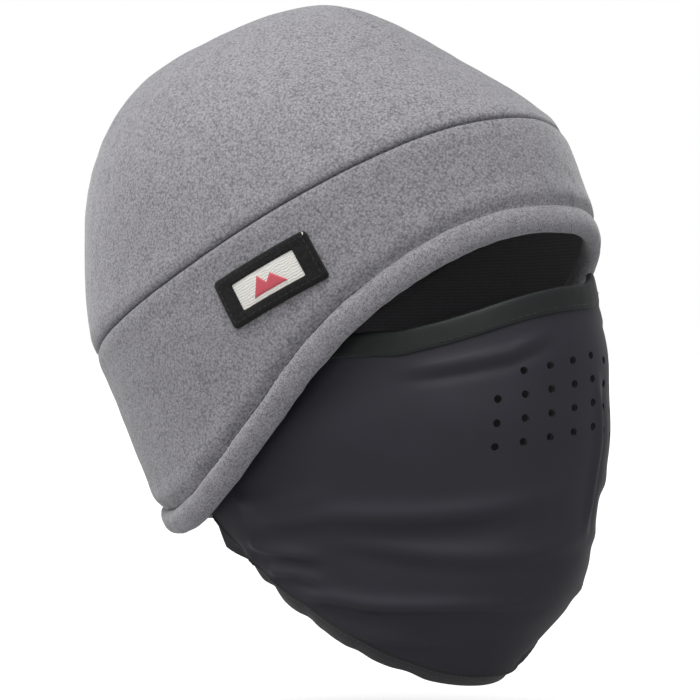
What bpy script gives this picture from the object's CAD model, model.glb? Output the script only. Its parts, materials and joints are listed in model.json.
import json
import math
import bpy
import bmesh
import numpy as np
from mathutils import Matrix, Vector
from mathutils.bvhtree import BVHTree
from mathutils.kdtree import KDTree

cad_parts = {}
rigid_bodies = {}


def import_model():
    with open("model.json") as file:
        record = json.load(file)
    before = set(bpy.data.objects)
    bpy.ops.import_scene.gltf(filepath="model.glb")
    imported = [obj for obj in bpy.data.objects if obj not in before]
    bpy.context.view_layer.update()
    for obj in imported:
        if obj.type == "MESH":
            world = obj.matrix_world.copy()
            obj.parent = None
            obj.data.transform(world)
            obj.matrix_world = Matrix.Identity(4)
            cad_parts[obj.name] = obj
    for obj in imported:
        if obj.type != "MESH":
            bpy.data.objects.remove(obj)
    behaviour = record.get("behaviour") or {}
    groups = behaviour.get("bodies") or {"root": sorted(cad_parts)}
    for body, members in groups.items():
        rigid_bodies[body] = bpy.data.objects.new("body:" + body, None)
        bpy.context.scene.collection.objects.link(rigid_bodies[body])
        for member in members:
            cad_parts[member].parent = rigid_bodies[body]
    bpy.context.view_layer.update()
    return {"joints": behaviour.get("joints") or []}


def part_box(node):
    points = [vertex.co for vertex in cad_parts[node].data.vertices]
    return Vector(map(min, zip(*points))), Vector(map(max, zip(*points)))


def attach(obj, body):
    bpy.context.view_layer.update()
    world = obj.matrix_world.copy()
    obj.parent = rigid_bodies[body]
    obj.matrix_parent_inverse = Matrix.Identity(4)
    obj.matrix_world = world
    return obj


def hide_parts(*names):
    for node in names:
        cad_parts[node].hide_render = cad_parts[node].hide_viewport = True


# Fleece balaclava with a stretch face mask. The CAD nodes give every place and border; the cloth,
# its rolled seams, folds, stitches and breathing holes are built here over those places.

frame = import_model()
MM = 0.001
TURN = 2.0 * math.pi

CAP_CENTRE = (0.0, 0.010, 0.045)
MASK_CENTRE = (0.0, -0.005, -0.035)
SHELL = 2.3 * MM            # fleece thickness
LINING = 1.2 * MM           # knit lining thickness
PANEL = 1.0 * MM            # mask face fabric
LINER = 0.8 * MM            # mask backing
HOLE_RADIUS = 1.5 * MM
HOLE_RIM = 0.45 * MM        # width of the even ring of cloth round each hole
FLOOR_GAP = 1.0 * MM
AWAY = 100.0 * MM           # rough distance of the cloth from its centre: a length over it is an angle
CROWN_COLUMNS = 480
ROLL_STATIONS = 640


# ---------------------------------------------------------------- reading the CAD nodes

def cad_triangles(names):
    """Corners and triangles of some CAD nodes together."""
    corners, faces, start = [], [], 0
    for name in names:
        mesh = bpy.data.objects[name].data
        mesh.calc_loop_triangles()
        flat = np.empty(len(mesh.vertices) * 3)
        mesh.vertices.foreach_get("co", flat)
        index = np.empty(len(mesh.loop_triangles) * 3, dtype=int)
        mesh.loop_triangles.foreach_get("vertices", index)
        corners.append(flat.reshape(-1, 3))
        faces.append(index.reshape(-1, 3) + start)
        start += len(mesh.vertices)
    return np.concatenate(corners), np.concatenate(faces)


def cad_tree(names):
    corners, faces = cad_triangles(names)
    return BVHTree.FromPolygons(corners.tolist(), faces.tolist())


def heading(theta, phi):
    """Direction from the front, turning to the wearer's left, and upwards."""
    return np.stack([np.sin(theta) * np.cos(phi), -np.cos(theta) * np.cos(phi),
                     np.sin(phi) + 0.0 * theta], axis=-1)


def cast(tree, centre, theta, phi):
    """Distance from the centre to the first face met from outside, or not a number."""
    far = 0.4
    way = heading(theta, phi)
    hit = tree.ray_cast(Vector(centre) + far * Vector(way), -Vector(way))
    if hit[0] is None or far - hit[3] < 0.02:
        return math.nan
    return far - hit[3]


def bridge(line, most=4):
    """Fill the gaps in a line of distances and run its ends on a little."""
    index = np.arange(len(line))
    known = index[~np.isnan(line)]
    if len(known) < 4:
        return line
    filled = np.interp(index, known, line[known])
    low, high = known[0], known[-1]
    steps = np.minimum(low - index[:low], most)
    filled[:low] = line[low] - steps * (line[low + 1] - line[low])
    steps = np.minimum(index[high + 1:] - high, most)
    filled[high + 1:] = line[high] + steps * (line[high] - line[high - 1])
    return filled


def spline_weights(share):
    return np.stack([(1 - share) ** 3, 3 * share ** 3 - 6 * share ** 2 + 4,
                     -3 * share ** 3 + 3 * share ** 2 + 3 * share + 1, share ** 3]) / 6.0


class Skin:
    """Smooth outside of some CAD nodes, as a distance from a centre in every direction."""

    def __init__(self, names, centre, lowest, highest, columns=180, rows=90):
        self.centre = np.array(centre)
        self.columns = columns
        self.lowest = math.radians(lowest)
        self.step = (math.radians(highest) - self.lowest) / rows
        tree = cad_tree(names)
        grid = np.array([[cast(tree, centre, TURN * column / columns - math.pi, self.lowest + self.step * row)
                          for row in range(rows + 1)] for column in range(columns)])
        grid = np.array([bridge(line) for line in grid])
        for row in range(rows + 1):
            ring = np.tile(grid[:, row], 3)
            grid[:, row] = bridge(ring)[columns:2 * columns]
        if highest > 89.0:
            over = np.roll(grid, columns // 2, axis=0)[:, -2:-6:-1]
            grid = np.concatenate([grid, over], axis=1)
        self.grid = self.soften(grid)

    @staticmethod
    def soften(grid):
        """Take the one-cell dents out, then the facets."""
        padded = np.pad(grid, ((0, 0), (1, 1)), mode="edge")
        turned = [np.roll(padded, shift, axis=0) for shift in (-1, 0, 1)]
        near = [cells[:, k:k + grid.shape[1]] for cells in turned for k in range(3)]
        grid = np.median(np.stack(near), axis=0)
        for _ in range(2):
            run = np.pad(smoothed_ring(grid, 1), ((0, 0), (1, 1)), mode="reflect", reflect_type="odd")
            grid = (run[:, :-2] + 2 * run[:, 1:-1] + run[:, 2:]) / 4.0
        return grid

    def radius(self, theta, phi):
        across = (np.asarray(theta) + math.pi) / TURN * self.columns
        up = (np.asarray(phi) - self.lowest) / self.step
        up = np.clip(up, 1.0, self.grid.shape[1] - 3.001)
        i, j = np.floor(across).astype(int), np.floor(up).astype(int)
        wide, tall = spline_weights(across - i), spline_weights(up - j)
        total = 0.0
        for a in range(4):
            for b in range(4):
                total = total + wide[a] * tall[b] * self.grid[(i + a - 1) % self.columns, j + b - 1]
        return total

    def point(self, theta, phi):
        return self.centre + heading(theta, phi) * self.radius(theta, phi)[..., None]

    def normal(self, theta, phi):
        small = 0.008
        phi = np.minimum(phi, math.radians(89.2))
        across = self.point(theta + small, phi) - self.point(theta - small, phi)
        up = self.point(theta, phi + small) - self.point(theta, phi - small)
        return unit(np.cross(across, up))

    def place(self, points):
        """Turn and rise of points seen from the centre."""
        away = points - self.centre
        return (np.arctan2(away[..., 0], -away[..., 1]),
                np.arctan2(away[..., 2], np.hypot(away[..., 0], away[..., 1])))

    def under(self, points, way):
        """Slide points along one direction until they lie on the skin."""
        for _ in range(12):
            theta, phi = self.place(points)
            gap = np.linalg.norm(points - self.centre, axis=-1) - self.radius(theta, phi)
            facing = heading(theta, phi) @ way
            points = points - (gap / facing)[..., None] * way
        return points


def unit(vectors):
    return vectors / np.linalg.norm(vectors, axis=-1, keepdims=True)


def cut_line(corners, side, ahead, triangle):
    """Where an upright plane cuts one triangle: two (out, height) places, all cuts run one way round."""
    spots = []
    for p, q in zip(triangle, np.roll(triangle, -1)):
        if (side[p] > 0) != (side[q] > 0):
            share = side[p] / (side[p] - side[q])
            spots.append(corners[p] + share * (corners[q] - corners[p]))
    if len(spots) < 2 or spots[0] @ ahead <= 0:
        return None
    first, second, third = corners[triangle]
    facing = np.cross(second - first, third - first)
    flat = [(spot @ ahead, spot[2]) for spot in spots]
    out, up = np.subtract(flat[1], flat[0])
    return flat[::-1] if up * (facing @ ahead) < out * facing[2] else flat


def ring_middles(name, axis_back, count):
    """Middle of a ring node's cross-section at even turns about an upright axis."""
    corners, faces = cad_triangles([name])
    corners = corners - np.array([0.0, axis_back, 0.0])
    middles = []
    for theta in np.arange(count) * TURN / count - math.pi:
        ahead = np.array([math.sin(theta), -math.cos(theta), 0.0])
        side = corners @ np.array([math.cos(theta), math.sin(theta), 0.0])
        crossing = faces[np.ptp(np.sign(side)[faces], axis=1) > 0]
        cuts = [cut_line(corners, side, ahead, triangle) for triangle in crossing]
        (x0, z0), (x1, z1) = np.array([ends for ends in cuts if ends]).transpose(1, 2, 0)
        twice = x0 * z1 - x1 * z0
        scale = 3.0 * twice.sum()
        out, height = ((x0 + x1) * twice).sum() / scale, ((z0 + z1) * twice).sum() / scale
        middles.append(ahead * out + np.array([0.0, axis_back, height]))
    return np.array(middles)


def smoothed_ring(values, times):
    """A closed run of values with its small kinks taken out."""
    for _ in range(times):
        values = (np.roll(values, 1, axis=0) + 2 * values + np.roll(values, -1, axis=0)) / 4.0
    return values


def smoothed_line(values, times):
    """An open run of values with its small kinks taken out, and its ends kept."""
    values = np.array(values)
    for _ in range(times):
        values[1:-1] = (values[:-2] + 2 * values[1:-1] + values[2:]) / 4.0
    return values


def looped(ring):
    """A ring of values with its first one repeated at the end."""
    return np.concatenate([ring, ring[:1]])


def reach_along(line):
    """Distance run from the start of each line to each of its points."""
    steps = np.cumsum(np.linalg.norm(np.diff(line, axis=-2), axis=-1), axis=-1)
    return np.concatenate([np.zeros_like(steps[..., :1]), steps], axis=-1)


def along_line(at, reach, line):
    """Values of a line at given distances along it."""
    return np.stack([np.interp(at, reach, line[:, k]) for k in range(3)], axis=-1)


def even_ring(points, count):
    """A closed line resampled at even steps, with its small kinks smoothed."""
    loop = looped(smoothed_ring(points, 3))
    reach = reach_along(loop)
    return along_line(np.arange(count) / count * reach[-1], reach, loop)


def seam_circle():
    """Centre and radius, in the side view, of the arc that the crown seam follows."""
    corners, _ = cad_triangles(["crown_seam"])
    back, height = corners[:, 1], corners[:, 2]
    table = np.stack([2 * back, 2 * height, np.ones(len(back))], axis=1)
    found = np.linalg.lstsq(table, back ** 2 + height ** 2, rcond=None)[0]
    return found[0], found[1], math.sqrt(found[2] + found[0] ** 2 + found[1] ** 2)


# ---------------------------------------------------------------- meshes

def ripple(points, height, size, seed, waves=28):
    """Smooth seeded unevenness, mostly within the height, with bumps about size across, in millimetres."""
    rng = np.random.default_rng(seed)
    total = np.zeros(points.shape[:-1])
    for _ in range(waves):
        way = rng.normal(size=3)
        way *= rng.uniform(0.6, 1.3) * math.pi / (size * MM * np.linalg.norm(way))
        total += np.sin(points @ way + rng.uniform(0, TURN))
    return height * MM * total * math.sqrt(2.0 / waves) * 0.6


def bump(distance, width):
    return np.exp(-(distance / width) ** 2)


def swells(distance, section):
    """Sum of soft bumps: the height, place and width of each, in the distance's unit."""
    return sum(height * bump(distance - place, width) for height, place, width in section)


def smooth_step(value):
    value = np.clip(value, 0.0, 1.0)
    return value * value * (3.0 - 2.0 * value)


def add_object(name, data, place=(0.0, 0.0, 0.0)):
    thing = bpy.data.objects.new(name, data)
    thing.location = place
    bpy.context.scene.collection.objects.link(thing)
    return thing


def make_object(name, corners, faces, crease=60.0):
    mesh = bpy.data.meshes.new(name)
    mesh.from_pydata(np.asarray(corners).tolist(), [], faces)
    shape = bmesh.new()
    shape.from_mesh(mesh)
    bmesh.ops.delete(shape, geom=[v for v in shape.verts if not v.link_faces], context="VERTS")
    bmesh.ops.remove_doubles(shape, verts=shape.verts, dist=1e-7)
    bmesh.ops.dissolve_degenerate(shape, edges=shape.edges, dist=1e-7)
    bmesh.ops.recalc_face_normals(shape, faces=shape.faces)
    shape.to_mesh(mesh)
    shape.free()
    mesh.polygons.foreach_set("use_smooth", [True] * len(mesh.polygons))
    mesh.set_sharp_from_angle(angle=math.radians(crease))
    return add_object(name, mesh)


def loft_faces(count, ring, closed):
    """Four-sided faces of a stack of closed rings, with end caps unless it is closed."""
    faces = []
    for i in range(count if closed else count - 1):
        a, b = i * ring, (i + 1) % count * ring
        faces += [(a + j, b + j, b + (j + 1) % ring, a + (j + 1) % ring) for j in range(ring)]
    if not closed:
        faces.append(tuple(range(ring)))
        faces.append(tuple(range((count - 1) * ring, count * ring))[::-1])
    return faces


def loft(name, rings, closed=True, crease=60.0):
    count, ring = rings.shape[:2]
    return make_object(name, rings.reshape(-1, 3), loft_faces(count, ring, closed), crease)


def turns_round(sides):
    """Even turns round a cross-section, as a column."""
    return np.arange(sides)[:, None] * TURN / sides


def grid_of(values, rows):
    """A grid that holds one value all along each column."""
    return np.repeat(values[:, None], rows, axis=1)


def threads(name, lines, normals, radius, sides=8):
    """Short plump stitches: one closed tube for each centre line."""
    count, steps = lines.shape[:2]
    across = unit(np.cross(unit(np.gradient(lines, axis=1)), normals))
    girth = radius * np.sqrt(1.0 - np.abs(np.linspace(-1.0, 1.0, steps)) ** 5 * 0.75)
    turns = turns_round(sides)
    round_line = across[:, :, None] * np.cos(turns) + normals[:, :, None] * np.sin(turns)
    corners = lines[:, :, None] + girth[:, None, None] * round_line
    faces = loft_faces(steps, sides, False)
    every = [tuple(k + c * steps * sides for k in face) for c in range(count) for face in faces]
    return make_object(name, corners.reshape(-1, 3), every)


def sew(name, path, normals, stitch, lift, body, slot, *nodes):
    """A row of stitches along a path on a surface: length, gap and radius, and lift, in millimetres."""
    length, gap, radius = np.array(stitch) * MM
    reach = reach_along(path)
    count = int(reach[-1] / (length + gap))
    pitch = reach[-1] / count
    share = np.linspace(0.0, 1.0, 7)
    at = (np.arange(count)[:, None] + 0.5 * gap / pitch + share * length / pitch) * pitch
    facing = unit(along_line(at, reach, normals))
    rise = lift * MM + 0.6 * radius * np.sin(share * math.pi) - 0.5 * radius
    lines = along_line(at, reach, path) + facing * rise[None, :, None]
    finish_piece(threads(name, lines, facing, radius), body, slot, *nodes)


def row_places(length, start, end, count):
    """Distances along one column: close rows near its ends, even rows between."""
    start, end = np.array(start) * MM, np.array(end) * MM
    middle = np.linspace(start[-1], length - end[-1], count + 2)[1:-1]
    return np.concatenate([start, middle, length - end[::-1]])


def columns_on(skin, theta, phi_from, phi_to, start, end, count):
    """Turn, rise and distance run, for columns of rows laid on a skin."""
    fine = np.linspace(0.0, 1.0, 160)
    rises = phi_from[:, None] + (phi_to - phi_from)[:, None] * fine
    reach = reach_along(skin.point(grid_of(theta, len(fine)), rises))
    places = np.array([row_places(r[-1], start, end, count) for r in reach])
    phi = np.array([np.interp(p, r, f) for p, r, f in zip(places, reach, rises)])
    return grid_of(theta, phi.shape[1]), phi, places


def nearest(points, path):
    """Which point of a path lies nearest to every given point, and how far off it is."""
    tree = KDTree(len(path))
    for index, spot in enumerate(path):
        tree.insert(spot, index)
    tree.balance()
    found = np.array([tree.find(spot)[1:] for spot in points.reshape(-1, 3)])
    index, away = found.T.reshape(2, *points.shape[:-1])
    return index.astype(int), away


def solve_rise(test, theta, low, high, steps):
    """Rise at which a growing test turns true in every column, by halving."""
    low, high = np.full(len(theta), low), np.full(len(theta), high)
    for _ in range(steps):
        middle = (low + high) / 2.0
        beyond = test(theta, middle)
        high = np.where(beyond, middle, high)
        low = np.where(beyond, low, middle)
    return low


# ---------------------------------------------------------------- materials

class Look:
    """A procedural material under construction. Pattern sizes and depths are in millimetres."""

    def __init__(self, name, rough, **sockets):
        self.material = bpy.data.materials.new(name)
        self.material.use_nodes = True
        self.tree = self.material.node_tree
        self.shader = self.tree.nodes["Principled BSDF"]
        self.shader.inputs["Roughness"].default_value = rough
        for key, value in sockets.items():
            self.shader.inputs[key.replace("_", " ")].default_value = value
        self.space = self.node("ShaderNodeTexCoord").outputs["Object"]

    def node(self, kind, links=(), **values):
        made = self.tree.nodes.new(kind)
        for key, value in values.items():
            if key[0].islower():
                setattr(made, key, value)
            else:
                made.inputs[key.replace("_", " ")].default_value = value
        for socket, source in links:
            self.tree.links.new(source, made.inputs[socket])
        return made

    def noise(self, size, detail=2.0, rough=0.5):
        made = self.node("ShaderNodeTexNoise", [("Vector", self.space)],
                         Scale=1.0 / (size * MM), Detail=detail, Roughness=rough)
        return made.outputs["Fac"]

    def waves(self, size, space, direction, distort):
        made = self.node("ShaderNodeTexWave", [("Vector", space)], bands_direction=direction,
                         Scale=math.pi / (10.0 * size * MM), Distortion=distort)
        return made.outputs["Fac"]

    def ramp(self, source, low, high, start=0.0, end=1.0):
        made = self.node("ShaderNodeMapRange", [("Value", source)])
        for key, value in zip(("From Min", "From Max", "To Min", "To Max"), (start, end, low, high)):
            made.inputs[key].default_value = value
        return made.outputs["Result"]

    def blend(self, *parts):
        """Sum of patterns, each times its weight."""
        total = None
        for pattern, weight in parts:
            share = self.node("ShaderNodeMath", [(0, pattern)], operation="MULTIPLY")
            share.inputs[1].default_value = weight
            links = [(0, total.outputs["Value"]), (1, share.outputs["Value"])] if total else []
            total = self.node("ShaderNodeMath", links, operation="ADD") if total else share
        return total.outputs["Value"]

    def tones(self, pattern, tone, *stops):
        """Colour by a pattern: each stop is a place and how far the tone is lightened there."""
        made = self.node("ShaderNodeValToRGB", [("Fac", pattern)])
        ramp = made.color_ramp
        while len(ramp.elements) < len(stops):
            ramp.elements.new(0.5)
        for element, (place, factor) in zip(ramp.elements, stops):
            element.position = place
            element.color = (*(min(1.0, part * factor) for part in tone), 1.0)
        self.tree.links.new(made.outputs["Color"], self.shader.inputs["Base Color"])

    def relief(self, height, depth, strength=1.0):
        made = self.node("ShaderNodeBump", [("Height", height)], Strength=strength, Distance=depth * MM)
        self.tree.links.new(made.outputs["Normal"], self.shader.inputs["Normal"])

    def rough(self, source, low, high):
        self.tree.links.new(self.ramp(source, low, high), self.shader.inputs["Roughness"])


def cloth_look(name, rough, sheen, sheen_rough, gloss):
    return Look(name, rough, Sheen_Weight=sheen, Sheen_Roughness=sheen_rough, Specular_IOR_Level=gloss)


def fleece(name, tone, clump=0.95, depth=0.34):
    """Brushed pile: fine grain and small clumps with darker gaps between, over slow patches of tone."""
    look = cloth_look(name, 0.95, 0.42, 0.4, 0.12)
    wobble = look.node("ShaderNodeTexNoise", [("Vector", look.space)], Scale=1100.0, Detail=1.0)
    bend = look.node("ShaderNodeVectorMath", [(0, wobble.outputs["Color"]), (2, look.space)],
                     operation="MULTIPLY_ADD")
    bend.inputs[1].default_value = (0.8 * MM, 0.8 * MM, 0.8 * MM)
    clumps = look.node("ShaderNodeTexVoronoi", [("Vector", bend.outputs["Vector"])], Scale=1.0 / (clump * MM))
    tufts = look.ramp(clumps.outputs["Distance"], 0.8, 0.2, 0.1, 0.8)
    pile = look.blend((tufts, 0.30), (look.noise(0.42, 4.0, 0.85), 0.38), (look.noise(1.3, 3.0, 0.75), 0.24),
                      (look.noise(6.0, 2.0, 0.6), 0.08))
    look.tones(pile, tone, (0.38, 0.52), (0.49, 0.96), (0.58, 1.22), (0.66, 1.75))
    look.relief(pile, depth)
    return look.material


def knit(name, tone, rib=1.3):
    look = cloth_look(name, 0.9, 0.2, 0.5, 0.2)
    pile = look.blend((look.waves(rib, look.space, "Z", 2.5), 0.22), (look.noise(0.6, 3.0, 0.7), 0.8))
    look.tones(pile, tone, (0.3, 0.7), (0.75, 1.2))
    look.relief(pile, 0.25, 0.7)
    return look.material


def stretch_cloth(name, tone):
    """Fine smooth stretch fabric with a hardly visible grain."""
    look = cloth_look(name, 0.55, 0.05, 0.35, 0.35)
    grain = look.noise(0.28, 2.0, 0.7)
    both = look.blend((grain, 0.5), (look.noise(14.0, 3.0, 0.5), 0.5))
    look.tones(both, tone, (0.25, 0.82), (0.8, 1.2))
    look.rough(both, 0.47, 0.65)
    look.relief(grain, 0.08, 0.5)
    return look.material


def tape(name, tone):
    look = cloth_look(name, 0.45, 0.04, 0.3, 0.3)
    both = look.blend((look.waves(0.55, look.space, "Z", 0.4), 0.35), (look.noise(0.4), 0.6))
    look.tones(both, tone, (0.1, 0.8), (0.9, 1.25))
    look.rough(both, 0.4, 0.6)
    look.relief(both, 0.08, 0.6)
    return look.material


def thread(name, tone, rough=0.6):
    look = cloth_look(name, rough, 0.25, 0.4, 0.35)
    twist = look.noise(0.22, 1.0)
    look.tones(twist, tone, (0.2, 0.7), (0.8, 1.2))
    look.relief(twist, 0.08, 0.6)
    return look.material


def woven(name, tone, tilt):
    """Ribbed patch whose threads run along and across the tilted label."""
    look = cloth_look(name, 0.6, 0.15, 0.4, 0.4)
    turned = look.node("ShaderNodeMapping", [("Vector", look.space)])
    turned.inputs["Rotation"].default_value = (tilt, 0.0, 0.0)
    space = turned.outputs["Vector"]
    weave = look.blend((look.waves(0.42, space, "Y", 3.0), 0.32), (look.waves(0.966, space, "Z", 6.0), 0.32),
                       (look.noise(0.7, 3.0, 0.7), 0.4))
    look.tones(weave, tone, (0.22, 0.42), (0.42, 0.9), (0.8, 1.08))
    look.relief(weave, 0.18, 0.9)
    return look.material


def felt(name, tone):
    look = cloth_look(name, 0.95, 0.10, 0.5, 0.1)
    fibres = look.blend((look.noise(0.35, 4.0, 0.8), 0.7), (look.noise(1.6), 0.3))
    look.tones(fibres, tone, (0.38, 0.55), (0.50, 1.0), (0.64, 1.9))
    look.relief(fibres, 0.35)
    return look.material


def grey(value, tint):
    """Linear colour from a display value of 0 to 255 and a tint."""
    return tuple(((value * part / 255.0 + 0.055) / 1.055) ** 2.4 for part in tint)


FLEECE_TINT = (1.0, 0.987, 1.022)
LABEL_TILT = math.radians(27.5)
NEUTRAL = (1.0, 1.0, 1.0)
LOOKS = {name: recipe(name, grey(value, tint), *rest) for name, recipe, value, tint, *rest in (
    ("fleece_crown", fleece, 140, FLEECE_TINT),
    ("fleece_band", fleece, 134, FLEECE_TINT),
    ("fleece_binding", fleece, 138, FLEECE_TINT, 0.65, 0.35),
    ("lining", knit, 132, FLEECE_TINT),
    ("mask_fabric", stretch_cloth, 33, (1.0, 0.98, 1.26)),
    ("mask_lining", knit, 58, (1.0, 0.99, 1.04), 0.8),
    ("mask_binding", tape, 25, (0.94, 1.08, 1.1)),
    ("thread_grey", thread, 84, FLEECE_TINT),
    ("thread_black", thread, 26, NEUTRAL),
    ("label_black", felt, 29, NEUTRAL),
    ("label_white", woven, 228, (1.0, 0.99, 0.965), LABEL_TILT),
    ("label_red", thread, 196, (1.0, 0.42, 0.48), 0.5),
)}


def finish_piece(thing, body, slot, *nodes):
    """Give a piece its material, body, record slot and the CAD nodes that it stands for."""
    thing.data.materials.append(LOOKS[slot])
    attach(thing, body)
    if nodes:
        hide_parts(*nodes)
    return thing


# ---------------------------------------------------------------- the cap

# Rows near a sewn edge, in millimetres from it, closer where the cloth rolls under.
LIP = [0.0, 0.25, 0.5, 0.8, 1.2, 1.7, 2.3, 3.1, 4.1, 5.4, 7.0, 9.0]
SEAM_GAP = 0.3 * MM / AWAY
DARTS = ("dart_seam_front", "dart_seam_back_right", "dart_seam_back_left")
# Sections of the cloth beside a dart, and beside the rolled edge: the height, place and width of
# each swell, in millimetres from the seam or from the middle of the roll.
DART_SECTION = ((-1.25, 0.0, 0.85), (0.40, 3.4, 2.2), (-0.45, 0.0, 9.0))
EDGE_SECTION = ((-1.5, 5.2, 2.6), (0.5, 11.0, 4.0))


def lip_profile(distance, swell):
    """How far cloth stands off the skin near a sewn edge, where it rolls under."""
    roll = 2.0 * MM
    share = np.clip(1.0 - distance / roll, 0.0, 1.0)
    under = -roll * (1.0 - np.sqrt(np.maximum(1.0 - share ** 2, 0.0)))
    return under + swell * bump(distance - 5.0 * MM, 4.2 * MM)


def dart_ends(name):
    """The two ends of a dart, the upper first."""
    corners, _ = cad_triangles([name])
    middle = corners.mean(axis=0)
    along = np.linalg.svd(corners - middle, full_matrices=False)[2][0]
    if along[2] < 0:
        along = -along
    run = (corners - middle) @ along
    return middle + along * run.max(), middle + along * run.min()


def dart_relief(points):
    """Crease and puckers along each dart, fading into the crown at both ends."""
    total = 0.0
    for index, name in enumerate(DARTS):
        top, foot = dart_ends(name)
        length = np.linalg.norm(foot - top)
        along = (foot - top) / length
        run = (points - top) @ along
        away = np.linalg.norm(points - top - run[..., None] * along, axis=-1)
        share = run / length
        fade = smooth_step((share + 0.12) / 0.3) * smooth_step((1.12 - share) / 0.35)
        puckers = 0.10 * bump(away, 4.0 * MM) * np.sin(run / (3.1 * MM) + index)
        total = total + (swells(away / MM, DART_SECTION) + puckers) * MM * fade
    return total


def double_wall(skin, theta, phi, lift_out, lift_in, inner_rows):
    """Outer rows and then inner rows, as closed rings for a loft."""
    outer = skin.point(theta, phi) + skin.normal(theta, phi) * lift_out[..., None]
    theta_in, phi_in = theta[:, inner_rows], phi[:, inner_rows]
    inner = skin.point(theta_in, phi_in) + skin.normal(theta_in, phi_in) * lift_in[:, inner_rows, None]
    return np.concatenate([outer, inner[:, ::-1]], axis=1)


def fleece_wall(name, skin, theta, phi, lift):
    """Fleece of even thickness, with every outer row and every fourth inner one."""
    inner_rows = sorted({*range(0, phi.shape[1], 4), phi.shape[1] - 1})
    return loft(name, double_wall(skin, theta, phi, lift, np.full(phi.shape, -SHELL), inner_rows))


def make_crown(skin, theta, seam_phi):
    top = np.full(len(theta), math.pi / 2.0)
    t, phi, run = columns_on(skin, theta, seam_phi + SEAM_GAP, top, LIP, [0.0, 0.6, 1.6], 52)
    spots = skin.point(t, phi)
    lift = lip_profile(run, 0.6 * MM) + dart_relief(spots)
    lift += ripple(spots, 0.35, 26, 3) * smooth_step(run / (12 * MM)) + ripple(spots, 0.10, 5, 4)
    crown = fleece_wall("crown_cloth", skin, t, phi, lift)
    finish_piece(crown, "cap", "fleece_crown", "crown_shell", *DARTS)


def make_band(skin, theta, seam_phi, edge_phi, roll_path):
    """Ear band, drawn in along the rolled edge and full just above it."""
    t, phi, run = columns_on(skin, theta, seam_phi - SEAM_GAP, edge_phi, LIP,
                             [0.0, 1.5, 3.0, 4.5, 6.0, 8.0], 34)
    spots = skin.point(t, phi)
    from_roll = nearest(spots, roll_path)[1]
    lift = lip_profile(run, 0.45 * MM) + MM * swells(from_roll / MM, EDGE_SECTION)
    lift += ripple(spots, 0.25, 22, 7) + ripple(spots, 0.09, 5, 8)
    band = fleece_wall("ear_band_cloth", skin, t, phi, lift)
    finish_piece(band, "cap", "fleece_band", "ear_band")


def make_lining(skin, theta, seam_phi, edge_phi):
    t, phi, _ = columns_on(skin, theta[::2], seam_phi[::2] - 0.01, edge_phi[::2], [0.0, 1.5, 4.0],
                           [0.0, 2.0, 4.0], 34)
    spots = skin.point(t, phi)
    out = np.full(phi.shape, -SHELL - 0.05 * MM)
    inside = out - LINING + ripple(spots, 0.12, 7, 12)
    rows = list(range(phi.shape[1]))
    lining = loft("ear_band_knit", double_wall(skin, t, phi, out, inside, rows))
    finish_piece(lining, "cap", "lining", "ear_band_lining")


def make_seam_tape(skin, theta, seam_phi):
    """Soft tape that covers the crown seam on the inside."""
    up, lift = np.array([(-4.9, -2.75), (-4.0, -2.36), (0.0, -2.30), (4.0, -2.36), (4.9, -2.6), (4.6, -2.95),
                         (1.5, -3.1), (-1.5, -3.1), (-4.6, -3.0)]).T * MM
    phi = seam_phi[:, None] + up / AWAY
    turns = grid_of(theta, len(up))
    rings = skin.point(turns, phi) + skin.normal(turns, phi) * lift[:, None]
    tape_ring = finish_piece(loft("crown_seam_tape", rings), "cap", "lining")


def make_crown_thread(skin, theta, seam_phi):
    facing = skin.normal(theta, seam_phi)
    path = skin.point(theta, seam_phi) - facing * 1.5 * MM
    sew("crown_seam_thread", looped(path), looped(facing), (2.6, 0.3, 0.42), 0.0, "cap", "thread_grey",
        "crown_seam")


def roll_frames(skin, path):
    """Across and outward directions at each station of the rolled binding."""
    along = unit(np.roll(path, -2, axis=0) - np.roll(path, 2, axis=0))
    outward = skin.normal(*skin.place(path))
    for _ in range(6):
        outward = (np.roll(outward, 1, axis=0) + outward + np.roll(outward, -1, axis=0)) / 3.0
    outward = unit(outward - (outward * along).sum(axis=1)[:, None] * along)
    across = np.cross(outward, along)
    return across * np.sign(across[:, 2].mean()), outward


def squared(wave):
    """A cosine or sine filled out a little, so that a ring made of them is less round."""
    return np.sign(wave) * np.abs(wave) ** 0.9


def make_edge_roll(skin, path):
    """Soft rolled binding with slight puckers round the curve, and its sewn line."""
    across, outward = roll_frames(skin, path)
    half_wide, half_thick = 5.2 * MM, 3.55 * MM
    path = path - across * 0.35 * MM
    turns = turns_round(28)
    rings = path[:, None] + across[:, None] * half_wide * squared(np.cos(turns))
    rings += outward[:, None] * half_thick * squared(np.sin(turns))
    soft = ripple(rings, 0.22, 9, 21) + ripple(rings, 0.10, 3.2, 22)
    roll = loft("edge_roll", rings + unit(rings - path[:, None]) * soft[..., None])
    finish_piece(roll, "cap", "fleece_binding", "edge_binding")
    seat = path + across * (half_wide + 0.15 * MM) + outward * 0.4 * MM
    sew("edge_roll_thread", looped(seat), looped(outward), (2.8, 0.5, 0.3), 0.0, "cap", "thread_grey",
        "binding_seam")


# ---------------------------------------------------------------- the label

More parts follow.
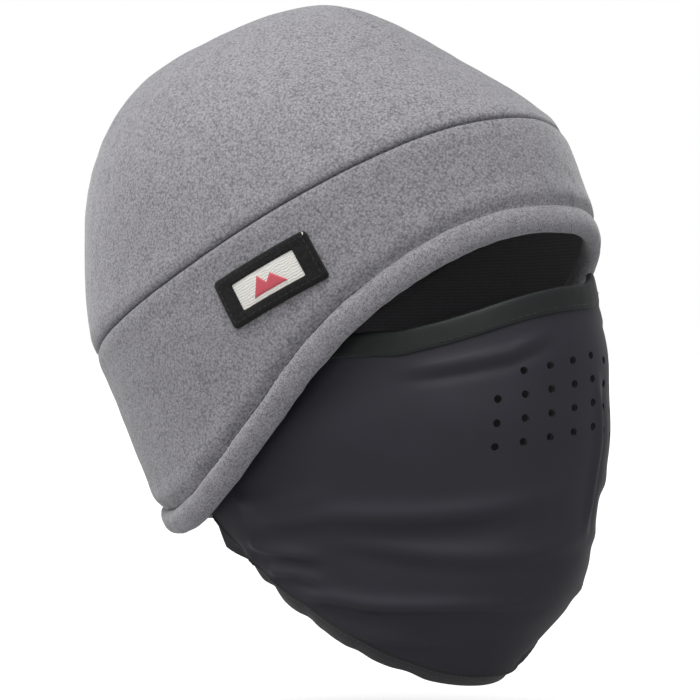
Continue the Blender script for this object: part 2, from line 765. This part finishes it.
class LabelFrame:
    """Flat axes of the temple label on the cap's skin. Its places are in millimetres."""

    def __init__(self, skin):
        corners, _ = cad_triangles(["label_frame"])
        self.skin = skin
        self.middle = (corners.min(axis=0) + corners.max(axis=0)) / 2.0
        self.along = np.array([0.0, -math.cos(LABEL_TILT), math.sin(LABEL_TILT)])
        self.up = np.array([0.0, math.sin(LABEL_TILT), math.cos(LABEL_TILT)])
        self.out = np.cross(self.along, self.up)

    def lay(self, forward, upward, lift):
        flat = self.middle + (forward[..., None] * self.along + upward[..., None] * self.up) * MM
        on = self.skin.under(flat, self.out)
        return on + self.skin.normal(*self.skin.place(on)) * np.asarray(lift)[..., None] * MM

    def block(self, name, forward, upward, top, base):
        """A closed block whose top lies at given lifts over a flat base."""
        over = self.lay(forward, upward, top)
        under = self.lay(forward, upward, np.full(forward.shape, base))
        return loft(name, np.concatenate([over, under[:, ::-1]], axis=1), closed=False)


def rounded_loop(half_long, half_wide, corner, edge=14):
    """Points round a rectangle with rounded corners, always the same number."""
    spots = []
    turns = np.linspace(0.0, math.pi / 2.0, 7)
    for quarter, (x, y) in enumerate(((1, 1), (-1, 1), (-1, -1), (1, -1))):
        angle = turns + quarter * math.pi / 2.0
        centre = np.array([x * (half_long - corner), y * (half_wide - corner)])
        spots.append(centre + corner * np.stack([np.cos(angle), np.sin(angle)], axis=1))
    whole = []
    for first, second in zip(spots, spots[1:] + spots[:1]):
        share = np.linspace(0.0, 1.0, edge + 2)[1:-1, None]
        whole += [first, first[-1] * (1 - share) + second[0] * share]
    return np.concatenate(whole)


# Half length, half width and corner of the label and of its window, in millimetres. The profiles go
# over the felt from the outside in: how far inside each outline, and how high above the skin.
LABEL_OUTLINE = (21.0, 9.75, 2.0)
LABEL_WINDOW = (13.7, 5.2, 0.6)
OUTER_PROFILE = [(0.3, -0.4), (0.05, 0.1), (0.0, 0.6), (0.1, 1.05), (0.35, 1.42), (0.75, 1.68), (1.3, 1.82),
                 (2.1, 1.88), (3.2, 1.86)]
WINDOW_PROFILE = [(-0.5, 1.82), (-0.15, 1.7), (0.0, 1.45), (0.0, 0.3), (-0.4, -0.3)]


def make_label_frame(label):
    rings, lifts = [], []
    for outline, profile, least in ((LABEL_OUTLINE, OUTER_PROFILE, 0.7), (LABEL_WINDOW, WINDOW_PROFILE, 0.6)):
        for inset, lift in profile:
            long, wide, corner = np.array(outline) - inset
            rings.append(rounded_loop(long, wide, max(corner, least)))
            lifts.append(lift)
    rings = np.array(rings)
    lifts = grid_of(np.array(lifts), rings.shape[1])
    spots = label.lay(rings[..., 0], rings[..., 1], lifts)
    spots += ripple(spots, 0.05, 4, 31)[..., None] * label.out
    felt_frame = loft("label_felt", spots.transpose(1, 0, 2), crease=80.0)
    finish_piece(felt_frame, "cap", "label_black", "label_frame")


def make_label(skin):
    label = LabelFrame(skin)
    make_label_frame(label)
    make_insert(label)
    make_mark(label)
    make_label_stitches(label)


def make_insert(label):
    """Woven patch, very slightly pillowed, with its thread ribs in the surface."""
    half_long, half_wide = (half + 0.25 for half in LABEL_WINDOW[:2])
    forward, upward = np.meshgrid(np.linspace(-half_long, half_long, 110),
                                  np.linspace(-half_wide, half_wide, 54), indexing="ij")
    pillow = 0.25 * (1 - (forward / half_long) ** 4) * (1 - (upward / half_wide) ** 4)
    ribs = 0.05 * np.sin(upward / 0.42 * TURN) * np.sin(forward / 0.9 * TURN)
    insert = label.block("label_weave", forward, upward, 1.25 + pillow + ribs, 0.1)
    finish_piece(insert, "cap", "label_white", "label_insert")


def make_mark(label):
    """Two-peak mountain mark in satin stitch."""
    places, peaks = np.array([(-7.3, -3.5), (-2.8, 3.5), (-0.35, -0.35), (2.45, 2.1), (7.3, -3.5)]).T
    foot = peaks[0]
    across = np.linspace(-7.1, 7.1, 130)
    share = np.linspace(0.0, 1.0, 12)
    upward = foot + (np.interp(across, places, peaks) - foot)[:, None] * share
    swell = 0.34 * np.sqrt(np.maximum(1.0 - (2 * share - 1) ** 4, 0.0))
    ridge = 0.07 * np.sin(across / 0.48 * TURN)[:, None] * (share * (1 - share) * 4)
    mark = label.block("label_mark", grid_of(across, len(share)), upward, 1.52 + swell + ridge, 1.3)
    finish_piece(mark, "cap", "label_red", "label_emblem")


def make_label_stitches(label):
    inset = 1.9
    loop = looped(rounded_loop(LABEL_OUTLINE[0] - inset, LABEL_OUTLINE[1] - inset, 1.0, 40))
    path = label.lay(loop[:, 0], loop[:, 1], np.full(len(loop), 1.86))
    facing = np.repeat(label.out[None], len(path), axis=0)
    sew("label_stitches", path, facing, (1.7, 0.7, 0.18), 0.0, "cap", "thread_black", "label_stitching")
    corner = np.array([(19.6, 8.0), (19.9, 8.6), (19.7, 9.2)])
    spots = label.lay(corner[:, 0], corner[:, 1], np.full(3, 1.95))
    tail = threads("label_corner_stitch", spots[None], np.repeat(label.out[None, None], 3, axis=1), 0.3 * MM)
    finish_piece(tail, "cap", "label_white")


# ---------------------------------------------------------------- the mask

# Folds of the stretched mask: (turn from the front in degrees, height share of the mask from hem to
# top) along each fold, its depth and width in millimetres, and how strongly the far side repeats it.
FOLDS = [
    ([(-103, 0.185), (-93, 0.27), (-82, 0.295), (-64, 0.365), (-42, 0.42), (-17, 0.483), (0, 0.545)],
     2.2, 7.5, 0.8),
    ([(-105, 0.08), (-96, 0.115), (-81, 0.168), (-62, 0.22)], 1.9, 4.5, 0.7),
    ([(-95, 0.01), (-88, 0.05), (-77, 0.10), (-62, 0.12)], 1.6, 4.0, 0.8),
    ([(-84, -0.02), (-66, 0.06), (-49, 0.11), (-25, 0.208), (-2, 0.262)], 2.6, 5.5, 0.7),
    ([(-62, -0.02), (-40, 0.04), (-20, 0.08)], 1.2, 4.0, 0.8),
    ([(-46, 0.878), (-30, 0.875), (-19, 0.87), (-7, 0.90)], 1.3, 4.2, 0.5),
    ([(4, 0.42), (5, 0.55), (5, 0.70), (4, 0.84)], 1.5, 5.0, 0.0),
    ([(26, 0.14), (16, 0.08), (7, 0.03)], 1.0, 3.5, 0.0),
    ([(-104, 0.30), (-92, 0.36), (-76, 0.41), (-60, 0.46)], 1.1, 6.0, 0.6),
    ([(-72, 0.27), (-52, 0.30), (-30, 0.335), (-10, 0.38), (6, 0.43)], 1.2, 6.0, 0.5),
]
FOLD_SECTION = ((0.72, 0.75, 0.62), (-0.45, 0.0, 0.7))      # a rope and its valley, in fold widths
FOLD_STRENGTH = 1.55
FOLD_POINTS = 60
FOLD_FADE = 16.0            # points over which a fold fades in or out at its ends
EAR_END = 112.0             # turn in degrees at which every fold has died out
MASK_REAR = 116.0           # turn of the mask's rear end
LEVEL = -8.0                # rise in degrees at which every turn meets the mask
HIGHEST, LOWEST = 60.0, -66.0                               # rises beyond the mask's borders
TOP_HUMP = (15.0, 8.0, 0.07)                                # turn and width in degrees, rise in radians
BACKING_DROPS = ((74.0, 18.0, 0.028), (98.0, 12.0, 0.055))  # the same, down from the backing's hem
FINE_COLUMNS = 107 / 0.58   # columns to a radian through the holes
FINE_ROWS = 158 / 0.58      # rows to the mask's whole height through the holes
EDGE_MARGIN = 0.006         # rise between the cloth's edge and the tape's, in radians
HEM_MARGIN = 0.008


def border(names, theta, limit):
    """Rise at which rays in every column stop meeting some nodes, on the way to a limit."""
    tree = cad_tree(names)

    def missed(turns, rises):
        return np.array([math.isnan(cast(tree, MASK_CENTRE, *way)) for way in zip(turns, rises)])

    return smoothed_line(solve_rise(missed, theta, math.radians(LEVEL), math.radians(limit), 18), 4)


def hole_middles(skin):
    """Turn and rise of every breathing hole, read off the CAD panel."""
    tree = cad_tree(["mask_panel"])
    step = math.radians(0.3)
    turns = np.arange(-30.0, 30.0, 0.3) * math.pi / 180.0
    rises = np.arange(2.0, 33.0, 0.3) * math.pi / 180.0
    open_cells = set()
    for i, theta in enumerate(turns):
        for j, phi in enumerate(rises):
            reach = cast(tree, MASK_CENTRE, theta, phi)
            if math.isnan(reach) or reach < skin.radius(theta, phi) - 0.35 * MM:
                open_cells.add((i, j))
    holes = []
    while open_cells:
        group = flood(open_cells)
        if 8 < len(group) < 200:
            holes.append(np.array([turns[0], rises[0]]) + step * np.mean(group, axis=0))
    return np.array(holes)


def flood(cells):
    """Take one patch of touching cells out of a set."""
    todo, group = [cells.pop()], []
    while todo:
        i, j = todo.pop()
        group.append((i, j))
        near = cells & {(i + 1, j), (i - 1, j), (i, j + 1), (i, j - 1)}
        cells -= near
        todo += near
    return group


def fold_path(line, side):
    """Smooth line of turns and height shares along one fold."""
    fine = np.linspace(0, len(line) - 1, FOLD_POINTS)
    turns, shares = (np.interp(fine, range(len(line)), part) for part in np.array(line).T)
    return -side * smoothed_line(np.radians(turns), 8), smoothed_line(shares, 8)


def one_fold(turns, heights, spots, place, path_turns, path_shares, mirror, wide):
    """A soft rope with a valley along its lower side, fading at both ends."""
    path = place(path_turns, path_shares)
    index = nearest(spots, path)[0]
    tangent = np.gradient(path, axis=0)[index]
    reach = spots - path[index]
    onward = np.clip((reach * tangent).sum(axis=-1) / (tangent ** 2).sum(axis=-1), -0.5, 0.5)
    away = np.linalg.norm(reach - onward[..., None] * tangent, axis=-1)
    run = np.gradient(path_turns)[index], np.gradient(path_shares)[index]
    side = run[0] * (heights - path_shares[index]) - run[1] * (turns - path_turns[index])
    away = away * np.sign(side) * mirror
    from_end = np.minimum(index + onward, FOLD_POINTS - 1.0 - index - onward)
    return smooth_step(from_end / FOLD_FADE) * swells(away / wide, FOLD_SECTION)


def fold_relief(turns, heights, spots, place):
    """All the folds together; the far side repeats the near side's more weakly."""
    total = np.zeros(turns.shape)
    for line, depth, width, echo in FOLDS:
        for side, strength, shift in ((-1, 1.0, 0.0), (1, echo, 0.015)):
            if strength > 0.0:
                path_turns, path_shares = fold_path(line, side)
                total += strength * depth * MM * one_fold(turns, heights, spots, place, path_turns,
                                                          path_shares + shift, -side, width * MM)
    on_cheek = smooth_step((np.abs(turns) - 0.55) / 0.5)
    before_ear = smooth_step((math.radians(EAR_END) - np.abs(turns)) / 0.25)
    below_tape = smooth_step((0.95 - heights) / 0.05)
    calm_hem = 1.0 - 0.7 * smooth_step((0.02 - heights) / 0.05)
    calm_cheek = 1.0 - 0.75 * smooth_step((0.06 - heights) / 0.06) * on_cheek
    return FOLD_STRENGTH * total * before_ear * below_tape * calm_hem * calm_cheek


class Mask:
    """Rows and columns that the mask's layers share."""

    def __init__(self):
        self.skin = Skin(["mask_panel"], MASK_CENTRE, LOWEST, HIGHEST, 180, 84)
        self.holes = hole_middles(self.skin)
        edge = np.abs(self.holes[:, 0]).max() + 3.0 * MM / AWAY
        fine = np.linspace(-edge, edge, int(2 * edge * FINE_COLUMNS))
        coarse = np.linspace(edge, math.radians(MASK_REAR), 84)[1:]
        self.theta = np.concatenate([-coarse[::-1], fine, coarse])
        panel = ["mask_panel", "mask_top_binding", "mask_hem_seam"]
        self.top = border(panel, self.theta, HIGHEST)
        self.hem = border(panel, self.theta, LOWEST)
        self.backing_hem = border(["mask_liner"], self.theta, LOWEST)
        turn, wide, rise = TOP_HUMP
        self.top += rise * bump(self.theta - math.radians(turn), math.radians(wide))
        for turn, wide, drop in BACKING_DROPS:
            self.backing_hem -= drop * bump(np.abs(self.theta) - math.radians(turn), math.radians(wide))

    def at(self, angle, share):
        """A point on the mask by turn and height share."""
        low = np.interp(angle, self.theta, self.hem)
        high = np.interp(angle, self.theta, self.top)
        return self.skin.point(angle, low + (high - low) * share)

    def rows(self, hem):
        """Height shares of the rows: close through the holes, wider elsewhere."""
        low = np.interp(self.holes[:, 0], self.theta, hem)
        high = np.interp(self.holes[:, 0], self.theta, self.top)
        share = (self.holes[:, 1] - low) / (high - low)
        start, end = share.min() - 0.022, share.max() + 0.022
        fine = np.linspace(start, end, int((end - start) * FINE_ROWS))
        return np.concatenate([np.linspace(0.0, start, 56)[:-1], fine, np.linspace(end, 1.0, 12)[1:]])

    def layer(self, hem, hem_margin):
        """Spots, facings and relief of one layer that ends at its own hem."""
        share = self.rows(hem)
        low, high = hem + hem_margin, self.top - EDGE_MARGIN
        phi = low[:, None] + (high - low)[:, None] * share
        theta = grid_of(self.theta, len(share))
        spots = self.skin.point(theta, phi)
        heights = (phi - self.hem[:, None]) / (self.top - self.hem)[:, None]
        return spots, self.skin.normal(theta, phi), self.relief(theta, heights, spots)

    def relief(self, theta, heights, spots):
        return fold_relief(theta, heights, spots, self.at) + self.tension(theta, heights, spots)

    @staticmethod
    def tension(theta, heights, spots):
        """Slow unevenness of the stretched cloth, gone at the top edge and the ears."""
        calm = smooth_step((1.0 - heights) / 0.25) * smooth_step((heights + 0.06) / 0.12)
        calm *= smooth_step((math.radians(104.0) - np.abs(theta)) / 0.4)
        return calm * (ripple(spots * np.array([1.0, 1.0, 2.2]), 0.45, 34, 41) + ripple(spots, 0.12, 13, 42))


def open_holes(mask, spots):
    """Move corners on to each hole's circle, and mark the faces outside the holes to be kept."""
    keep = np.ones((spots.shape[0] - 1, spots.shape[1] - 1), dtype=bool)
    centres = (spots[:-1, :-1] + spots[1:, :-1] + spots[:-1, 1:] + spots[1:, 1:]) / 4.0
    moved = spots.copy()
    for theta, phi in mask.holes:
        middle, facing = mask.skin.point(theta, phi), mask.skin.normal(theta, phi)
        across = unit(np.cross(np.array([0.0, 0.0, 1.0]), facing))
        up = np.cross(facing, across)
        inside = np.hypot((centres - middle) @ across, (centres - middle) @ up) < HOLE_RADIUS
        inside &= np.linalg.norm(centres - middle, axis=-1) < 3 * HOLE_RADIUS
        keep &= ~inside
        touched = np.zeros(spots.shape[:2], dtype=int)
        for a in (0, 1):
            for b in (0, 1):
                touched[a:touched.shape[0] - 1 + a, b:touched.shape[1] - 1 + b] += inside
        moved += hole_shift(spots - middle, across, up, touched)
    return moved, keep


def hole_shift(away, across, up, touched):
    """Moves that round one hole's rim, and an even ring of cloth outside it."""
    flat = np.stack([away @ across, away @ up], axis=-1)
    reach = np.hypot(flat[..., 0], flat[..., 1])
    rim = (touched > 0) & (touched < 4)
    near = np.linalg.norm(away, axis=-1) < 3 * HOLE_RADIUS
    ring = near & (touched == 0) & (reach < HOLE_RADIUS + HOLE_RIM)
    target = np.where(rim, HOLE_RADIUS, np.where(ring, HOLE_RADIUS + HOLE_RIM, reach))
    shift = flat * (target / np.maximum(reach, 1e-6) - 1.0)[..., None]
    return np.where((rim | ring)[..., None], shift[..., :1] * across + shift[..., 1:] * up, 0.0)


def pierced_sheet(name, outer, inner, keep):
    """Two layers of corners joined at every border and round every hole."""
    columns, rows = outer.shape[:2]
    count = columns * rows
    faces, sides = [], {}
    for i in range(columns - 1):
        for j in range(rows - 1):
            if keep[i, j]:
                corner = (i * rows + j, (i + 1) * rows + j, (i + 1) * rows + j + 1, i * rows + j + 1)
                faces.append(corner)
                faces.append(tuple(c + count for c in corner[::-1]))
                for a, b in zip(corner, corner[1:] + corner[:1]):
                    if (b, a) in sides:
                        del sides[(b, a)]
                    else:
                        sides[(a, b)] = True
    faces += [(b, a, a + count, b + count) for a, b in sides]
    every = np.concatenate([outer.reshape(-1, 3), inner.reshape(-1, 3)])
    return make_object(name, every, faces, 50.0)


def make_mask_layer(mask, name, hem, hem_margin, depth, thickness):
    """One pierced layer of the mask, its outer face at a depth below the folded skin."""
    spots, normals, relief = mask.layer(hem, hem_margin)
    moved, keep = open_holes(mask, spots)
    face = moved + normals * (relief - depth)[..., None]
    return pierced_sheet(name, face, face - normals * thickness, keep)


def make_mask_cloth(mask):
    panel = make_mask_layer(mask, "mask_cloth", mask.hem, HEM_MARGIN, 0.0, PANEL)
    finish_piece(panel, "mask", "mask_fabric", "mask_panel")
    liner = make_mask_layer(mask, "mask_backing", mask.backing_hem, 0.0, PANEL + 0.02 * MM, LINER)
    finish_piece(liner, "mask", "mask_lining", "mask_liner")


def below_top(mask, theta, distance):
    """Rise at a distance down the cloth from the mask's top edge."""
    small = 0.02
    high = np.interp(theta, mask.theta, mask.top)
    drop = np.linalg.norm(mask.skin.point(theta, high) - mask.skin.point(theta, high - small), axis=-1)
    return high - distance * small / drop


# Tape folded over the mask's top edge, round its section: how far down from the edge, and how high
# above the cloth, in millimetres.
TAPE_SECTION = [
    (9.5, 0.05), (9.45, 0.45), (9.2, 0.62), (8.0, 0.64), (6.0, 0.68), (4.0, 0.70), (2.2, 0.72), (1.0, 0.66),
    (0.3, 0.35), (0.0, -0.3), (0.0, -1.4), (0.3, -2.05), (1.0, -2.4), (3.0, -2.45), (6.0, -2.42),
    (9.0, -2.4), (9.4, -2.25), (9.45, -1.95), (6.0, -1.85), (2.0, -1.85), (1.0, -1.5), (0.9, -0.5),
    (1.5, 0.02), (5.0, 0.03)]


def make_mask_tape(mask):
    down, lift = np.array(TAPE_SECTION).T * MM
    turns = np.linspace(mask.theta[0], mask.theta[-1], 420)
    theta = grid_of(turns, len(down))
    phi = below_top(mask, theta, down)
    spots = mask.skin.point(theta, phi)
    soft = ripple(spots, 0.16, 11, 51) + ripple(spots, 0.05, 3, 52)
    rings = spots + mask.skin.normal(theta, phi) * (lift + soft)[..., None]
    piece = loft("mask_tape", rings, closed=False)
    finish_piece(piece, "mask", "mask_binding", "mask_top_binding")
    phi = below_top(mask, turns, 7.9 * MM)
    sew("mask_tape_stitches", mask.skin.point(turns, phi), mask.skin.normal(turns, phi), (2.3, 0.7, 0.17),
        0.62, "mask", "thread_black", "mask_top_stitch")


def make_mask_hem(mask):
    """Overlocked edge: a fine cord wrapped in thread, along the panel's lower border."""
    turns = np.linspace(mask.theta[0], mask.theta[-1], 760)
    rise = np.interp(turns, mask.theta, mask.hem) + HEM_MARGIN
    spots, facing = mask.skin.point(turns, rise), mask.skin.normal(turns, rise)
    relief = mask.relief(turns, np.full(len(turns), 0.005), spots)
    path = spots + facing * (relief - 0.35 * MM)[:, None]
    up = np.cross(facing, unit(np.gradient(path, axis=0)))
    around = turns_round(10)
    girth = 0.72 * MM * (1.0 + 0.13 * np.sin(reach_along(path)[:, None, None] / (1.9 * MM) * TURN + around))
    rings = path[:, None] + girth * (up[:, None] * np.cos(around) + facing[:, None] * np.sin(around))
    hem = loft("mask_overlock", rings, closed=False)
    finish_piece(hem, "mask", "thread_black", "mask_hem_seam")


# ---------------------------------------------------------------- the ear fixings

# Sections of a patch and a tab: radius, and height above the skin, in millimetres.
PATCH = [(1.7, -3.5), (9.6, -3.5), (10.0, -3.8), (9.9, -4.3), (9.4, -4.6), (6.0, -4.68), (2.2, -4.65),
         (1.7, -4.4)]
TAB = [(1.7, 0.02), (1.7, 0.85), (2.1, 1.0), (5.5, 1.04), (8.4, 1.0), (8.9, 0.75), (9.0, 0.3), (8.8, 0.02)]


def ear_rings(skin, node, profile, count=56):
    """A round patch laid on a skin over one ear: closed rings, and the way out from the head."""
    middle = np.mean(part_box(node), axis=0)
    out = np.array([math.copysign(1.0, middle[0]), 0.0, 0.0])
    turns = turns_round(count)
    ring = np.concatenate([0.0 * turns, np.cos(turns), np.sin(turns)], axis=1)
    layers = []
    for radius, lift in profile:
        on = skin.under(middle + ring * radius * MM, out)
        layers.append(on + skin.normal(*skin.place(on)) * lift * MM)
    return np.array(layers).transpose(1, 0, 2), out


def make_ear_patch(skin, node, name, body, slot, profile, seam):
    rings, out = ear_rings(skin, node, profile)
    piece = finish_piece(loft(name, rings), body, slot, node)
    path = looped(ear_rings(skin, node, [seam], 120)[0][:, 0])
    facing = np.repeat(math.copysign(1.0, seam[1]) * out[None], len(path), axis=0)
    sew(name + "_stitches", path, facing, (1.8, 0.6, 0.22), 0.05, body, "thread_black")


def make_tack(word):
    """Thread tack: a coiled head inside the mask and a wound shank out to the cap."""
    node = "mask_tack_" + word
    low, high = np.array(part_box(node))
    start, end = sorted(np.abs([low[0], high[0]]) / MM)
    head = [(start + 0.22 - 0.2 * abs(math.sin(math.pi * r / 0.62)), r) for r in np.linspace(0.35, 3.3, 34)]
    rim = [(start + 0.5, 3.5), (start + 0.9, 3.35), (start + 1.05, 1.7)]
    winds = np.linspace(start + 1.15, end - 0.1, 90)
    shank = [(x, 1.42 + 0.07 * math.sin((x - start) / 0.6 * TURN)) for x in winds]
    out, radius = np.array(head + rim + shank + [(end, 1.2), (end, 0.35)]).T * MM
    turns = turns_round(40)
    rings = np.stack([math.copysign(1.0, low[0]) * out + 0.0 * turns,
                      (low[1] + high[1]) / 2.0 + radius * np.cos(turns),
                      (low[2] + high[2]) / 2.0 + radius * np.sin(turns)], axis=-1)
    finish_piece(loft("ear_tack_thread_" + word, rings), "cap", "thread_black", node)


def make_ear_fixings(cap, mask):
    for word in ("right", "left"):
        make_ear_patch(cap, "ear_patch_" + word, "ear_patch_cloth_" + word, "cap",
                       "lining", PATCH, (8.3, -4.7))
        make_ear_patch(mask.skin, "mask_tab_" + word, "mask_tab_cloth_" + word, "mask",
                       "mask_binding", TAB, (7.4, 1.02))
        make_tack(word)


# ---------------------------------------------------------------- stage

CAMERA_HEIGHT = 0.014
CAMERA_PLACE = (-0.9184, -0.6921, CAMERA_HEIGHT)
FOCAL_LENGTH = 150.8        # millimetres, on a sensor 36 mm wide
FLOOR_HALF = 60.0
WORLD_LIGHT, WORLD_SEEN = 0.5, 1.0


def aim(thing, target):
    way = Vector(target) - thing.location
    thing.rotation_euler = way.to_track_quat("-Z", "Y").to_euler()


def make_camera():
    data = bpy.data.cameras.new("camera")
    data.lens = FOCAL_LENGTH
    data.sensor_width = 36.0
    camera = add_object("camera", data, CAMERA_PLACE)
    aim(camera, (0.0, 0.0, CAMERA_HEIGHT))
    bpy.context.scene.camera = camera


def make_lamp(name, kind, power, place, target, **settings):
    data = bpy.data.lights.new(name, kind)
    data.energy = power
    for key, value in settings.items():
        setattr(data, key, value)
    aim(add_object(name, data, place), target)


def seen_and_lit(tree, lit, seen, output):
    """Show one shader to the camera, while another one lights the object."""
    path = tree.nodes.new("ShaderNodeLightPath")
    choose = tree.nodes.new("ShaderNodeMixShader")
    for socket, source in (("Fac", path.outputs["Is Camera Ray"]), (1, lit.outputs[0]), (2, seen.outputs[0])):
        tree.links.new(source, choose.inputs[socket])
    tree.links.new(choose.outputs["Shader"], tree.nodes[output].inputs["Surface"])


def make_world(light, seen):
    """Dimmer white for lighting the object than the white that the camera sees behind it."""
    world = bpy.data.worlds.new("world")
    world.use_nodes = True
    tree = world.node_tree
    dim, bright = tree.nodes["Background"], tree.nodes.new("ShaderNodeBackground")
    for shader, strength in ((dim, light), (bright, seen)):
        shader.inputs["Color"].default_value = (*NEUTRAL, 1.0)
        shader.inputs["Strength"].default_value = strength
    seen_and_lit(tree, dim, bright, "World Output")
    bpy.context.scene.world = world


def floor_look():
    """Pale floor that gives back less light to the object than it shows."""
    look = Look("floor", 0.9, Emission_Color=(*NEUTRAL, 1.0), Emission_Strength=0.42)
    look.tones(look.noise(200.0), NEUTRAL, (0.3, 0.62), (0.7, 0.64))
    dull = look.node("ShaderNodeBsdfDiffuse", Color=(0.45, 0.45, 0.45, 1.0))
    seen_and_lit(look.tree, dull, look.shader, "Material Output")
    return look.material


def lowest_reach():
    """Lowest height that the mask comes to as it is pulled down."""
    joint = frame["joints"][0]
    spots = cad_triangles(["mask_liner"])[0]
    pivot = np.array(joint["pos_m"])
    turned = [np.array(Matrix.Rotation(math.radians(turn), 3, Vector(joint["axis"])))
              for turn in np.linspace(*joint["range_deg"], 10)]
    return min(((spots - pivot) @ turn.T + pivot)[:, 2].min() for turn in turned)


def make_stage():
    height = lowest_reach() - FLOOR_GAP
    corners = [(x * FLOOR_HALF, y * FLOOR_HALF, height) for x, y in ((-1, -1), (1, -1), (1, 1), (-1, 1))]
    mesh = bpy.data.meshes.new("floor")
    mesh.from_pydata(corners, [], [(0, 1, 2, 3)])
    mesh.materials.append(floor_look())
    floor = add_object("floor", mesh)
    make_world(WORLD_LIGHT, WORLD_SEEN)
    middle, above = (0.0, 0.0, 0.0), (0.0, 0.0, 0.02)
    make_lamp("key", "SUN", 2.7, (-0.55, -0.05, 1.3), middle, angle=math.radians(40.0))
    make_lamp("rim", "AREA", 5.0, (-0.9, 1.3, 0.6), above, shape="DISK", size=0.8)
    make_lamp("front", "AREA", 4.0, (-1.3, -0.9, 0.9), above, shape="DISK", size=0.7)
    bpy.context.scene.view_settings.view_transform = "Standard"


# ---------------------------------------------------------------- the whole object

def seam_rises(cap, theta):
    """Rise of the crown seam in every column: where the cap's skin crosses the seam's arc."""
    back, height, radius = seam_circle()

    def over_seam(turns, rises):
        spots = cap.point(turns, rises)
        return spots[:, 2] > height - np.sqrt(radius ** 2 - (spots[:, 1] - back) ** 2)

    return solve_rise(over_seam, theta, math.radians(-40.0), math.radians(80.0), 30)


def make_cap(cap):
    theta = np.arange(CROWN_COLUMNS) * TURN / CROWN_COLUMNS - math.pi
    seam_phi = seam_rises(cap, theta)
    roll_path = even_ring(ring_middles("edge_binding", CAP_CENTRE[1], 240), ROLL_STATIONS)
    turns, rises = cap.place(roll_path)
    order = np.argsort(turns)
    edge_phi = np.interp(theta, turns[order], rises[order], period=TURN)
    make_crown(cap, theta, seam_phi)
    make_band(cap, theta, seam_phi, edge_phi, roll_path)
    make_lining(cap, theta, seam_phi, edge_phi)
    make_crown_thread(cap, theta, seam_phi)
    make_seam_tape(cap, theta, seam_phi)
    make_edge_roll(cap, roll_path)
    make_label(cap)


def main():
    cap = Skin(["crown_shell", "ear_band"], CAP_CENTRE, -66.0, 90.0, 200, 104)
    make_cap(cap)
    mask = Mask()
    make_mask_cloth(mask)
    make_mask_tape(mask)
    make_mask_hem(mask)
    make_ear_fixings(cap, mask)
    make_stage()
    make_camera()


main()
